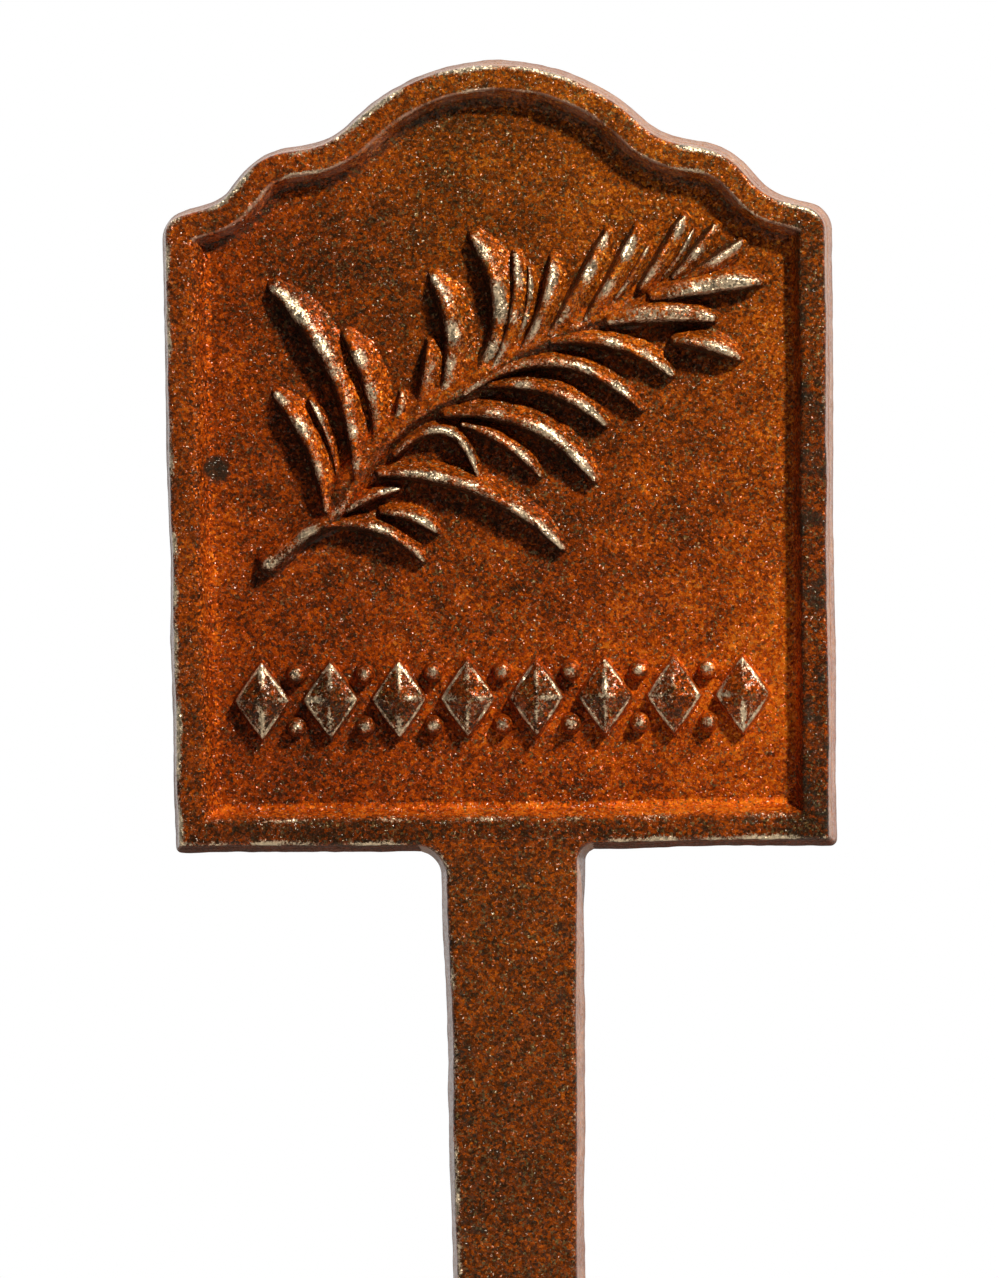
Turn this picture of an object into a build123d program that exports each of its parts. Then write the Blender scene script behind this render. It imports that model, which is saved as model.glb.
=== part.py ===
"""Cast-iron plant label stake.

A scalloped head with a raised rim carries a herb sprig and a band of lozenges and beads in
relief, and runs down into a flat tapered stake that is pushed into the soil. It stands
upright with its face towards -Y. The origin is on the stake's centre line at soil level.
"""

import os
from math import atan2, radians, tan

from build123d import *

# Head outline, measured along its back edge in millimetres, from the foot up to the arch
head_width = 70.2
foot_width = 69.3
side_height = 66.8
shoulder_run = 6.35
shoulder_rise = 1.8
riser_run = 4.05
riser_rise = 4.85
step_run = 7.3
step_rise = 1.05
arch_rise = 8.3
crown_flat = 0.3

# Corner radii of the outline, in the same order
foot_radius = 1.6
shoulder_radius = 3.0
riser_foot_radius = 5.0
step_radius = 8.5
arch_foot_radius = 8.0

# Section through the head
thickness = 6.0
field_depth = 2.2
rim_width = 2.9
side_draft = 8.0
rim_inner_draft = 25.0
field_corner_radius = 0.8
edge_radius = 0.45

# Stake, measured down from the head's bottom edge
stake_length = 172.0
stake_width = 15.1
stake_end_width = 11.0
stake_shift = 0.8
point_length = 20.0
point_radius = 1.8
blade_end_radius = 6.0
root_radius_left = 2.6
root_radius_right = 1.2
neck_margin = 0.6
soil_depth = 92.0

# Band of lozenges with a pair of beads in each gap
lozenge_count = 8
lozenge_tall = 8.4
lozenge_gap = 1.3
lozenge_crown_wide = 1.1
lozenge_crown_tall = 1.8
lozenge_height = 2.1
band_side_clearance = 1.2
band_foot_clearance = 7.0
bead_width = 2.0
bead_height = 1.5
bead_draft = 8.0
bead_rounding = 0.5
bead_spread = 2.75

# Sprig: clearances to the field's sides, to the band and to the shoulders
sprig_left_clearance = 5.9
sprig_right_clearance = 3.0
sprig_band_clearance = 9.7
sprig_top_clearance = 1.0
stem_end_width = 1.6
stem_tip_width = 0.8
stem_end_height = 1.8
stem_tip_height = 1.2
leaf_height = 2.2
crest_share = 0.4
crest_round = 0.7

# The sprig as drawn, in millimetres from the stem's cut end, up along the stem
stem_points = [
    (0.0, 0.0), (3.4, 2.8), (7.1, 5.2), (9.6, 9.0), (13.0, 13.1), (16.8, 15.9),
    (21.0, 18.1), (25.7, 21.3), (31.0, 23.8), (36.3, 25.8), (40.5, 27.5),
]
# Each leaf: where it leaves the stem, its tip, how far it bows to the left of that line, its width
leaves = [
    ((6.2, 5.6), (1.1, 17.7), -1.1, 1.5),
    ((7.4, 9.0), (4.6, 17.2), -0.5, 0.9),
    ((9.4, 9.0), (0.9, 28.8), -2.3, 1.9),
    ((11.4, 12.4), (8.4, 23.8), -1.0, 1.6),
    ((13.4, 14.4), (14.2, 17.6), -0.2, 0.9),
    ((15.6, 15.4), (17.2, 23.0), -0.4, 1.4),
    ((18.0, 16.4), (17.7, 29.6), -1.7, 1.9),
    ((21.5, 18.6), (21.9, 33.8), -2.8, 1.9),
    ((23.8, 20.1), (26.2, 32.0), -1.1, 1.3),
    ((25.2, 21.1), (27.7, 30.7), -0.9, 1.0),
    ((26.8, 22.1), (30.1, 31.5), -0.8, 1.4),
    ((29.8, 23.6), (35.8, 34.1), -0.3, 1.5),
    ((33.6, 25.2), (38.9, 34.5), -0.3, 1.3),
    ((36.4, 27.0), (40.1, 32.6), -0.2, 0.9),
    ((39.4, 28.4), (43.8, 35.6), -0.2, 1.2),
    ((41.6, 29.4), (44.9, 34.4), -0.2, 0.8),
    ((42.8, 29.4), (47.1, 34.7), -0.2, 1.1),
    ((43.8, 29.2), (49.7, 32.9), -0.2, 1.1),
    ((40.6, 27.4), (51.5, 28.8), 0.4, 2.0),
    ((36.0, 25.0), (46.6, 25.1), 0.6, 2.0),
    ((42.8, 22.8), (49.4, 20.9), 0.4, 1.6),
    ((30.0, 22.9), (42.3, 19.3), 1.5, 1.6),
    ((20.8, 17.6), (39.1, 15.8), 4.0, 1.4),
    ((23.4, 18.4), (35.3, 14.2), 1.5, 1.5),
    ((18.8, 15.5), (34.1, 8.5), 2.5, 1.9),
    ((20.6, 14.4), (28.5, 9.0), 0.8, 1.2),
    ((13.4, 11.4), (22.0, 9.1), 3.6, 1.1),
    ((11.8, 9.4), (30.7, 1.4), 2.3, 1.7),
    ((12.0, 5.4), (17.6, 3.3), 0.5, 1.2),
    ((8.4, 5.6), (13.8, 7.8), 0.3, 1.0),
    ((6.0, 4.0), (16.2, 0.3), 1.5, 1.3),
]
# Stations along a leaf: share of its length, share of its width and of its height
leaf_shape = [(0.0, 0.5, 0.7), (0.25, 0.85, 0.93), (0.55, 1.0, 1.0), (0.85, 0.85, 0.92), (1.0, 0.4, 0.6)]
leaf_clearance = 0.1
spine_samples = 30
stem_sections = 11

# Levels and planes: x to the right, y up from the head's bottom edge, z towards the viewer
front_y = -thickness / 2
field_y = front_y + field_depth
head_bottom = stake_length - soil_depth
back_plane = Plane((-stake_shift, thickness / 2, head_bottom), x_dir=(1, 0, 0), z_dir=(0, -1, 0))
field_plane = Plane((-stake_shift, field_y, head_bottom), x_dir=(1, 0, 0), z_dir=(0, -1, 0))
neck_plane = Plane.XY.offset(head_bottom - max(root_radius_left, root_radius_right) - neck_margin)

# Corner points of the head's right half, from the foot up to the arch
foot = (foot_width / 2, 0.0)
shoulder = (head_width / 2, side_height)
riser_foot = (shoulder[0] - shoulder_run, shoulder[1] + shoulder_rise)
riser_top = (riser_foot[0] - riser_run, riser_foot[1] + riser_rise)
arch_foot = (riser_top[0] - step_run, riser_top[1] + step_rise)
arch_turn = (arch_foot[0] / 2, arch_foot[1] + arch_rise)
arch_slope = atan2(arch_rise, arch_foot[0] / 2)
arch_radius = (arch_turn[0] - crown_flat / 2) / tan(arch_slope / 2)
right_half = [foot, shoulder, riser_foot, riser_top, arch_foot, arch_turn]
right_radii = [foot_radius, shoulder_radius, riser_foot_radius, step_radius, arch_foot_radius, arch_radius]
head_points = right_half + [(-x, y) for x, y in reversed(right_half)]
head_radii = right_radii + right_radii[::-1]


def inset_outline(points, radii, distance, least_radius):
    """The closed outline moved in by a distance: its corners, and radii to match."""
    corners = []
    rounds = []
    for before, here, after, radius in zip(points[-1:] + points[:-1], points, points[1:] + points[:1], radii):
        run_in = (Vector(here) - Vector(before)).normalized()
        run_out = (Vector(after) - Vector(here)).normalized()
        inward_in = Vector(-run_in.Y, run_in.X)
        inward_out = Vector(-run_out.Y, run_out.X)
        shift = (inward_in + inward_out) * (distance / (1 + inward_in.dot(inward_out)))
        corner = Vector(here) + shift
        corners.append((corner.X, corner.Y))
        turns_left = run_in.cross(run_out).Z > 0
        rounds.append(max(radius - distance, least_radius) if turns_left else radius + distance)
    return corners, rounds


# Casting blank: head and stake in one drafted outline, with the field sunk into the head
blade_end = -(stake_length - point_length)
casting_points = [
    (stake_shift, -stake_length),
    (stake_shift + stake_end_width / 2, blade_end),
    (stake_shift + stake_width / 2, 0.0),
    *head_points,
    (stake_shift - stake_width / 2, 0.0),
    (stake_shift - stake_end_width / 2, blade_end),
]
casting_radii = [
    point_radius, blade_end_radius, root_radius_right, *head_radii, root_radius_left, blade_end_radius,
]
draft_run = thickness * tan(radians(side_draft))
field_inset = draft_run + rim_width + field_depth * tan(radians(rim_inner_draft))
field_points, field_radii = inset_outline(head_points, head_radii, field_inset, field_corner_radius)

with BuildPart() as blank:
    with BuildSketch(back_plane):
        with BuildLine():
            FilletPolyline(*casting_points, radius=casting_radii, close=True)
        make_face()
    extrude(amount=thickness, taper=side_draft)
    with BuildSketch(field_plane):
        with BuildLine():
            FilletPolyline(*field_points, radius=field_radii, close=True)
        make_face()
    extrude(amount=field_depth, taper=-rim_inner_draft, mode=Mode.SUBTRACT)
    fillet(blank.faces().sort_by(Axis.Y)[0].edges(), radius=edge_radius)

# Panel: the head's plate up to the level of the field
with BuildPart() as panel:
    add(blank.part)
    split(bisect_by=neck_plane, keep=Keep.TOP)
    split(bisect_by=field_plane, keep=Keep.BOTTOM)

# Rim: the moulding that stands on the plate all round the field
with BuildPart() as rim:
    add(blank.part)
    split(bisect_by=neck_plane, keep=Keep.TOP)
    split(bisect_by=field_plane, keep=Keep.TOP)

# Stake: the tapered blade below the neck
with BuildPart() as stake:
    add(blank.part)
    split(bisect_by=neck_plane, keep=Keep.BOTTOM)

# Band: lozenges across the field, and the beads between them
field_half = foot_width / 2 - field_inset
band_middle = field_inset + band_foot_clearance + lozenge_tall / 2
lozenge_pitch = 2 * (field_half - band_side_clearance) / lozenge_count
lozenge_wide = lozenge_pitch - lozenge_gap
lozenge_places = [(i - (lozenge_count - 1) / 2) * lozenge_pitch for i in range(lozenge_count)]
gap_places = [x + lozenge_pitch / 2 for x in lozenge_places[:-1]]
bead_places = [(x, band_middle + side * bead_spread) for x in gap_places for side in (-1, 1)]


def diamond(middle, wide, tall):
    """Corner points of an upright lozenge."""
    x, y = middle
    return [(x + wide / 2, y), (x, y + tall / 2), (x - wide / 2, y), (x, y - tall / 2)]


lozenges = []
for place in lozenge_places:
    with BuildPart() as lozenge:
        with BuildSketch(field_plane):
            Polygon(*diamond((place, band_middle), lozenge_wide, lozenge_tall), align=None)
        with BuildSketch(field_plane.offset(lozenge_height)):
            Polygon(*diamond((place, band_middle), lozenge_crown_wide, lozenge_crown_tall), align=None)
        loft(ruled=True)
    lozenges.append(lozenge.part)

with BuildPart() as beads:
    with BuildSketch(field_plane):
        with Locations(*bead_places):
            Circle(bead_width / 2)
    extrude(amount=bead_height, taper=bead_draft)
    fillet(beads.faces().group_by(Axis.Y)[0].edges(), radius=bead_rounding)

# Sprig, fitted into the field between its clearances
sprig_wide = max(tip[0] for start, tip, bow, width in leaves)
sprig_tall = max(tip[1] for start, tip, bow, width in leaves)
sprig_foot = band_middle + lozenge_tall / 2 + sprig_band_clearance
room_wide = 2 * field_half - sprig_left_clearance - sprig_right_clearance
room_tall = side_height - sprig_top_clearance - sprig_foot
sprig_scale = min(room_wide / sprig_wide, room_tall / sprig_tall)
sprig_left = -field_half + sprig_left_clearance


def on_field(point):
    """A point of the drawn sprig, on the field."""
    x, y = point
    return (sprig_left + x * sprig_scale, sprig_foot + y * sprig_scale)


def across(line, share):
    """The plane across a line on the field, with its y towards the viewer."""
    along = line.tangent_at(share)
    return Plane(line.position_at(share), x_dir=Vector(0, -1, 0).cross(along), z_dir=along)


def ridge(half_width, height):
    """Cross-section of a rounded ridge that stands on the field."""
    crest = half_width * crest_share
    shoulder_level = height - crest * crest_round
    Polyline((-crest, shoulder_level), (-half_width, 0), (half_width, 0), (crest, shoulder_level))
    ThreePointArc((crest, shoulder_level), (0, height), (-crest, shoulder_level))


with BuildLine(field_plane) as stem_line:
    Spline(*[on_field(point) for point in stem_points])

def stem_width(share):
    """The stem's width at a share of its length."""
    return stem_end_width + (stem_tip_width - stem_end_width) * share


with BuildPart() as sprig_stem:
    for step in range(stem_sections):
        share = step / (stem_sections - 1)
        height = stem_end_height + (stem_tip_height - stem_end_height) * share
        with BuildSketch(across(stem_line.line.edge(), share)):
            with BuildLine():
                ridge(stem_width(share) * sprig_scale / 2, height)
            make_face()
    loft()


# Leaves, the wide ones first: each starts where it has come clear of the stem and the leaves before it
def leaf_spread(share):
    """Share of a leaf's width at a share of its length."""
    for (before, wide_before, _), (after, wide_after, _) in zip(leaf_shape, leaf_shape[1:]):
        if share <= after:
            return wide_before + (wide_after - wide_before) * (share - before) / (after - before)


samples = [i / spine_samples for i in range(spine_samples + 1)]
taken = [(stem_line.line.edge() @ share, stem_width(share) / 2) for share in samples]
grown = {}
for number, (start, tip, bow, width) in sorted(enumerate(leaves, 1), key=lambda row: -row[1][3]):
    run = Vector(tip) - Vector(start)
    middle = (Vector(start) + Vector(tip)) * 0.5 + Vector(-run.Y, run.X).normalized() * bow
    with BuildLine(field_plane) as leaf_line:
        ThreePointArc(on_field(start), on_field((middle.X, middle.Y)), on_field(tip))
    spine = leaf_line.line.edge()
    places = [(spine @ share, width * leaf_spread(share) / 2) for share in samples]
    clear_from = 0.0
    for share, (point, half) in zip(samples, places):
        if any((point - other).length < (half + reach) * sprig_scale + leaf_clearance for other, reach in taken):
            clear_from = share + 1 / spine_samples
    taken += [place for share, place in zip(samples, places) if share >= clear_from]
    with BuildPart() as leaf:
        for station, width_share, height_share in leaf_shape:
            share = clear_from + (1 - clear_from) * station
            with BuildSketch(across(spine, share)):
                with BuildLine():
                    ridge(width * width_share * sprig_scale / 2, leaf_height * height_share)
                make_face()
        loft()
    grown[f"leaf_{number:02d}"] = leaf.part

# Names and files
named = [("panel", panel.part), ("rim", rim.part), ("stake", stake.part)]
named += [("sprig_stem", sprig_stem.part), ("beads", beads.part)]
named += sorted(grown.items())
named += [(f"lozenge_{i}", part) for i, part in enumerate(lozenges, 1)]
os.makedirs("parts", exist_ok=True)
for name, part in named:
    part.label = name
    export_step(part, f"parts/{name}.step")
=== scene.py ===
"""Looks of the cast-iron plant label stake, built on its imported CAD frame.

Every piece is a mesh in the CAD's own frame. Lengths here are millimetres: u runs to the right
from the head's middle, w up from the head's bottom edge, and y is the frame's own depth.
"""

import math

import bpy
import numpy as np
from mathutils import Matrix, Vector


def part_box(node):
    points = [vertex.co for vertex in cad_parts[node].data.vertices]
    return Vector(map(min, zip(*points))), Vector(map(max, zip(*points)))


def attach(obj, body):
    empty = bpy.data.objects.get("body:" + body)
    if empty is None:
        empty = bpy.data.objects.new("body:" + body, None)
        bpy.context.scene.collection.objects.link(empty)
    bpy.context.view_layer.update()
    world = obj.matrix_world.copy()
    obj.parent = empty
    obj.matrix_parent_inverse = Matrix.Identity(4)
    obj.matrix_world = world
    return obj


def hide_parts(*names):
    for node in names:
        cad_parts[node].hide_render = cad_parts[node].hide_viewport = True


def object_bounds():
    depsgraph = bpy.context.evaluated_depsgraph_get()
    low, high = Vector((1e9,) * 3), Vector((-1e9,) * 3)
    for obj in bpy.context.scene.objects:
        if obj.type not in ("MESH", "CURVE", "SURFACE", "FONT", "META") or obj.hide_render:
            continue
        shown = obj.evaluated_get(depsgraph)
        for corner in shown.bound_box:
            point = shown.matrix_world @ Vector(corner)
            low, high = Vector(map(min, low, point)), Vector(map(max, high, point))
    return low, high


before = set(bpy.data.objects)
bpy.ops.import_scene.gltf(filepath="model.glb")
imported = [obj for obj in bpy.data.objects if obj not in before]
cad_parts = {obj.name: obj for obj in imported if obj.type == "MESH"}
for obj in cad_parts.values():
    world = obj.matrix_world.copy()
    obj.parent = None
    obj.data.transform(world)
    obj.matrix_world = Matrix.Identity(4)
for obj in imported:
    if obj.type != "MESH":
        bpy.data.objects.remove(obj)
cad_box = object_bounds()

MM = 0.001

# Head outline and sections, repeated from the part
HEAD_TALL = 82.8
ARCH_HALF = 8.7
ARCH_RISE = 8.3
ARCH_FLAT = 0.15
ARCH_RADIUS = (ARCH_HALF - ARCH_FLAT) / math.tan(math.atan2(ARCH_RISE, ARCH_HALF) / 2)
RIGHT_HALF = [
    (34.65, 0.0), (35.1, 66.8), (28.75, 68.6), (24.7, 73.45), (17.4, 74.5), (ARCH_HALF, HEAD_TALL),
]
RIGHT_RADII = [0.7, 3.0, 5.0, 8.5, 8.0, ARCH_RADIUS]
SMALLEST_RADIUS = 0.35
DRAFT = math.tan(math.radians(8.0))
BACK_Y = 3.0
FRONT_Y = -3.0
FIELD_Y = -0.8
STAKE_SHIFT = 0.8
STAKE_HALF = 7.55
STAKE_END_HALF = 5.5
BLADE_END = -152.0
STAKE_END = -172.0
POINT_RADIUS = 1.8
ROOT_LEFT = 2.6
ROOT_RIGHT = 1.2

# How far forward the relief may reach, and the side that its smoother flanks face
RELIEF_FRONT_Y = FRONT_Y - 0.03
LIT_SIDE = np.array([0.59, 0.81])

panel_low, panel_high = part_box("panel")
HEAD_X = (panel_low[0] + panel_high[0]) / 2 / MM
HEAD_Z = panel_high[2] / MM - HEAD_TALL


# Seeded waviness of the cast surface
def ripple(points, size, seed, count=24):
    """Smooth noise of about unit strength, with features of the given size."""
    rng = np.random.default_rng(seed)
    directions = rng.normal(size=(count, points.shape[1]))
    directions /= np.linalg.norm(directions, axis=1)[:, None]
    numbers = 2 * np.pi / (size * rng.uniform(1.4, 2.8, count))
    phases = rng.uniform(0, 2 * np.pi, count)
    waves = np.sin(points @ (directions * numbers[:, None]).T + phases)
    return waves.sum(axis=1) * math.sqrt(2 / count)


def face_wave(u, w):
    """How far a cast face stands proud of flat."""
    points = np.stack([u, w], axis=1)
    return 0.03 * ripple(points, 5.5, 11) + 0.012 * ripple(points, 1.9, 12)


def edge_wave(u, w, y):
    """How far an edge or side wall wanders from its line."""
    points = np.stack([u, w, y * 0.6], axis=1)
    slow = 0.06 * ripple(points, 9.0, 21)
    return slow + 0.02 * ripple(points, 2.2, 22) + 0.014 * ripple(points, 0.9, 23)


# Head outline as rings with the same number of points at every inset
HEAD_POINTS = np.array(RIGHT_HALF + [(-x, y) for x, y in reversed(RIGHT_HALF)])
HEAD_RADII = np.array(RIGHT_RADII + RIGHT_RADII[::-1])


def outline_parts(inset):
    """Corner by corner: the arc's centre, radius and angles, after moving the outline in."""
    before = np.roll(HEAD_POINTS, 1, axis=0)
    after = np.roll(HEAD_POINTS, -1, axis=0)
    run_in = HEAD_POINTS - before
    run_in /= np.linalg.norm(run_in, axis=1)[:, None]
    run_out = after - HEAD_POINTS
    run_out /= np.linalg.norm(run_out, axis=1)[:, None]
    normal_in = np.stack([-run_in[:, 1], run_in[:, 0]], axis=1)
    normal_out = np.stack([-run_out[:, 1], run_out[:, 0]], axis=1)
    miter = (normal_in + normal_out) / (1 + (normal_in * normal_out).sum(axis=1))[:, None]
    corners = HEAD_POINTS + miter * inset
    convex = run_in[:, 0] * run_out[:, 1] - run_in[:, 1] * run_out[:, 0] > 0
    radii = np.where(convex, np.maximum(HEAD_RADII - inset, SMALLEST_RADIUS), HEAD_RADII + inset)
    sign = np.where(convex, 1.0, -1.0)
    centres = corners + miter * (radii * sign)[:, None]
    start = np.arctan2(-normal_in[:, 1] * sign, -normal_in[:, 0] * sign)
    end = np.arctan2(-normal_out[:, 1] * sign, -normal_out[:, 0] * sign)
    turn = (end - start + np.pi) % (2 * np.pi) - np.pi
    return centres, radii, start, turn, sign


def step_counts(spacing):
    """Points on each arc and each straight run for a spacing along the outline."""
    centres, radii, start, turn, sign = outline_parts(2.0)
    arcs = np.maximum(np.ceil(np.abs(turn) * radii / spacing).astype(int), 8)
    ends = centres + radii[:, None] * np.stack([np.cos(start + turn), np.sin(start + turn)], axis=1)
    starts = centres + radii[:, None] * np.stack([np.cos(start), np.sin(start)], axis=1)
    runs = np.linalg.norm(np.roll(starts, -1, axis=0) - ends, axis=1)
    return arcs, np.maximum(np.ceil(runs / spacing).astype(int), 2)


def outline(inset, counts):
    """Points round the outline at an inset, and their inward normals."""
    centres, radii, start, turn, sign = outline_parts(inset)
    points = []
    normals = []
    total = len(centres)
    for i in range(total):
        share = np.linspace(0, 1, counts[0][i] + 1)
        angle = start[i] + turn[i] * share
        ray = np.stack([np.cos(angle), np.sin(angle)], axis=1)
        points.append(centres[i] + radii[i] * ray)
        normals.append(-ray * sign[i])
        following = (i + 1) % total
        first = points[-1][-1]
        ray_next = np.array([math.cos(start[following]), math.sin(start[following])])
        last = centres[following] + radii[following] * ray_next
        share = np.linspace(0, 1, counts[1][i] + 1)[1:-1, None]
        points.append(first + (last - first) * share)
        normals.append(np.repeat(normals[-1][-1:], len(share), axis=0))
    return np.concatenate(points), np.concatenate(normals)


def wall_ring(inset, y, counts):
    """A ring of the outline at an inset and depth, wandering as a cast edge does."""
    flat, normals = outline(inset, counts)
    depth = np.full(len(flat), float(y))
    right, up = -normals.T
    lean = -0.11 + 0.11 * right + 0.17 * up ** 2 + 0.28 * right * np.maximum(up, 0)
    lean = lean * (BACK_Y - y) / (BACK_Y - FRONT_Y) * max(0.0, 1 - inset / 3.0)
    flat = flat + normals * (lean + edge_wave(flat[:, 0], flat[:, 1], depth))[:, None]
    return flat, depth


# Meshes
def to_frame(u, w, y):
    """Head coordinates to the frame's."""
    return np.stack([np.asarray(u) + HEAD_X, np.asarray(y), np.asarray(w) + HEAD_Z], axis=1)


def strip_faces(first, second, closed=True):
    """Quads between two rows of vertex numbers."""
    if closed:
        return np.stack([first, np.roll(first, -1), np.roll(second, -1), second], axis=1).tolist()
    return np.stack([first[:-1], first[1:], second[1:], second[:-1]], axis=1).tolist()


def skin_faces(rings, count):
    """Faces of a skin over rings of the same number of points, closed at both ends."""
    numbers = np.arange(rings * count).reshape(rings, count)
    faces = []
    for first, second in zip(numbers, numbers[1:]):
        faces += strip_faces(first, second)
    return faces + [numbers[0][::-1].tolist(), numbers[-1].tolist()]


def add_piece(name, points, faces, nodes, **surface):
    """A smooth mesh piece on the root body that stands for its CAD nodes.

    Its surface values are given point by point: wear, wall (smooth drafted sides), painted_sheen (a painted
    pink sheen and highlight), glow (fresh orange tone, and painted light and shade) and
    dull_scale_and_painted_shade (rough dark scale without its sealed gloss, also laid as painted shade).
    """
    mesh = bpy.data.meshes.new(name)
    mesh.from_pydata((np.asarray(points) * MM).tolist(), [], faces)
    mesh.polygons.foreach_set("use_smooth", np.ones(len(mesh.polygons), dtype=bool))
    for key in ("wear", "wall", "painted_sheen", "glow", "dull_scale_and_painted_shade"):
        values = np.asarray(surface.get(key, np.zeros(len(points))), dtype=np.float32)
        mesh.attributes.new(key, "FLOAT", "POINT").data.foreach_set("value", values)
    mesh.materials.append(rust)
    mesh.validate()
    piece = bpy.data.objects.new(name, mesh)
    bpy.context.collection.objects.link(piece)
    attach(piece, "root")
    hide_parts(*nodes)


# Rust material: grainy orange and brown scale, worn to grey metal along crests and edges
rust = bpy.data.materials.new("rusted_iron")
rust.use_nodes = True
tree = rust.node_tree
tree.nodes.clear()


def add(kind, inputs=None, **settings):
    """A node with its settings and its inputs, which are values or other nodes' sockets."""
    made = tree.nodes.new(kind)
    for key, value in settings.items():
        setattr(made, key, value)
    for key, value in (inputs or {}).items():
        if isinstance(value, bpy.types.NodeSocket):
            tree.links.new(value, made.inputs[key])
        else:
            made.inputs[key].default_value = value
    return made


def maths(operation, a, b):
    """A maths node's result."""
    return add("ShaderNodeMath", {0: a, 1: b}, operation=operation).outputs[0]


def multiply_add(a, b, c):
    """Two values multiplied and a third added."""
    return add("ShaderNodeMath", {0: a, 1: b, 2: c}, operation="MULTIPLY_ADD").outputs[0]


def vectors(operation, a, b):
    """A node that works on two vectors."""
    return add("ShaderNodeVectorMath", {0: a, 1: b}, operation=operation)


def scaled(vector, scale):
    """A vector times a number."""
    return add("ShaderNodeVectorMath", {0: vector, "Scale": scale}, operation="SCALE").outputs[0]


def painted(name):
    """A surface value that the meshes carry."""
    return add("ShaderNodeAttribute", attribute_name=name).outputs["Fac"]


def noise(vector, scale, detail, roughness):
    """Noise around a half."""
    inputs = {"Vector": vector, "Scale": scale, "Detail": detail, "Roughness": roughness}
    return add("ShaderNodeTexNoise", inputs).outputs["Fac"]


def spread(value, low, high, to_low=0.0, to_high=1.0):
    """A value mapped from one range to another, held at its ends."""
    inputs = {"Value": value, "From Min": low, "From Max": high, "To Min": to_low, "To Max": to_high}
    return add("ShaderNodeMapRange", inputs).outputs["Result"]


def ramp(value, stops):
    """A colour ramp through the given places and colours."""
    made = add("ShaderNodeValToRGB", {"Fac": value})
    elements = made.color_ramp.elements
    while len(elements) < len(stops):
        elements.new(0.5)
    for element, (place, colour) in zip(elements, stops):
        element.position = place
        element.color = (*colour, 1.0)
    return made.outputs["Color"]


def mix(factor, first, second):
    """Two colours mixed."""
    made = add("ShaderNodeMix", data_type="RGBA")
    sockets = {"Factor": made.inputs[0], "A": made.inputs[6], "B": made.inputs[7]}
    for key, value in (("Factor", factor), ("A", first), ("B", second)):
        if isinstance(value, bpy.types.NodeSocket):
            tree.links.new(value, sockets[key])
        elif key == "Factor":
            sockets[key].default_value = value
        else:
            sockets[key].default_value = (*value, 1.0)
    return made.outputs[2]


# Where a point lies on the part
in_mm = scaled(add("ShaderNodeTexCoord").outputs["Object"], 1 / MM)
at_x, at_y, at_z = add("ShaderNodeSeparateXYZ", {0: in_mm}).outputs
raised = maths("MAXIMUM", spread(at_y, -1.2, -2.8), spread(at_y, 1.6, 2.8))
upward = spread(at_z, HEAD_Z + 15.0, HEAD_Z + 75.0)
low_down = spread(at_z, HEAD_Z + 28.0, HEAD_Z + 4.0)
lift = spread(at_z, HEAD_Z - 20.0, HEAD_Z + 80.0, -0.05, 0.12)
below_head = spread(at_z, HEAD_Z + 2.0, HEAD_Z - 2.0, 0.4, 0.75)
rightward = spread(at_x, HEAD_X + 28.5, HEAD_X + 31.5)
across = spread(at_x, HEAD_X - 20.0, HEAD_X + 25.0)
from_left = spread(at_x, HEAD_X - 27.0, HEAD_X - 5.0, 0.15, 1.0)

# Grains: facets of two sizes, each with its own tilt and shade
jitter = add("ShaderNodeTexNoise", {"Vector": in_mm, "Scale": 3.0, "Detail": 2.0}).outputs["Color"]
grainy = vectors("ADD", in_mm, scaled(jitter, 0.25)).outputs[0]


def grains(per_mm):
    """Random colour channels of grains, and the height of their tilted facets."""
    cells = add("ShaderNodeTexVoronoi", {"Vector": grainy, "Scale": per_mm}, feature="F1")
    shade = cells.outputs["Color"]
    apart = vectors("SUBTRACT", grainy, cells.outputs["Position"]).outputs[0]
    tilt = vectors("SUBTRACT", shade, (0.5, 0.5, 0.5)).outputs[0]
    facet = vectors("DOT_PRODUCT", apart, tilt).outputs["Value"]
    channels = add("ShaderNodeSeparateColor", {"Color": shade}).outputs
    steep = multiply_add(maths("POWER", channels[1], 3.0), 1.4, 0.22)
    return channels[0], channels[1], channels[2], maths("MULTIPLY", facet, steep)


coarse_a, _, coarse_c, coarse_facet = grains(3.3)
tiny_a, tiny_b, tiny_c, tiny_facet = grains(5.4)
fine = noise(in_mm, 6.5, 2.0, 0.6)
small = noise(in_mm, 1.3, 3.0, 0.55)
patches = noise(in_mm, 0.24, 3.0, 0.55)
broad = noise(in_mm, 0.06, 2.0, 0.5)
wear = painted("wear")
wall = painted("wall")
painted_sheen = painted("painted_sheen")
glow = painted("glow")
dull_scale_and_painted_shade = painted("dull_scale_and_painted_shade")


def blend(*terms):
    """Weighted sum of values."""
    total = maths("MULTIPLY", terms[0][0], terms[0][1])
    for value, weight in terms[1:]:
        total = multiply_add(value, weight, total)
    return total


# Scale from near black through rust to orange, redder low on the field, browner above and on raised faces
calm = mix(maths("MULTIPLY", raised, 0.45), patches, (0.5, 0.5, 0.5))
below_sprig = spread(at_z, HEAD_Z + 29.0, HEAD_Z + 20.0)
above_rail = spread(at_z, HEAD_Z + 6.0, HEAD_Z + 13.0)
fresh = maths("MULTIPLY", maths("MULTIPLY", below_sprig, above_rail), across)
fresh = maths("MULTIPLY", fresh, spread(raised, 0.0, 1.0, 1.0, 0.0))
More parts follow.
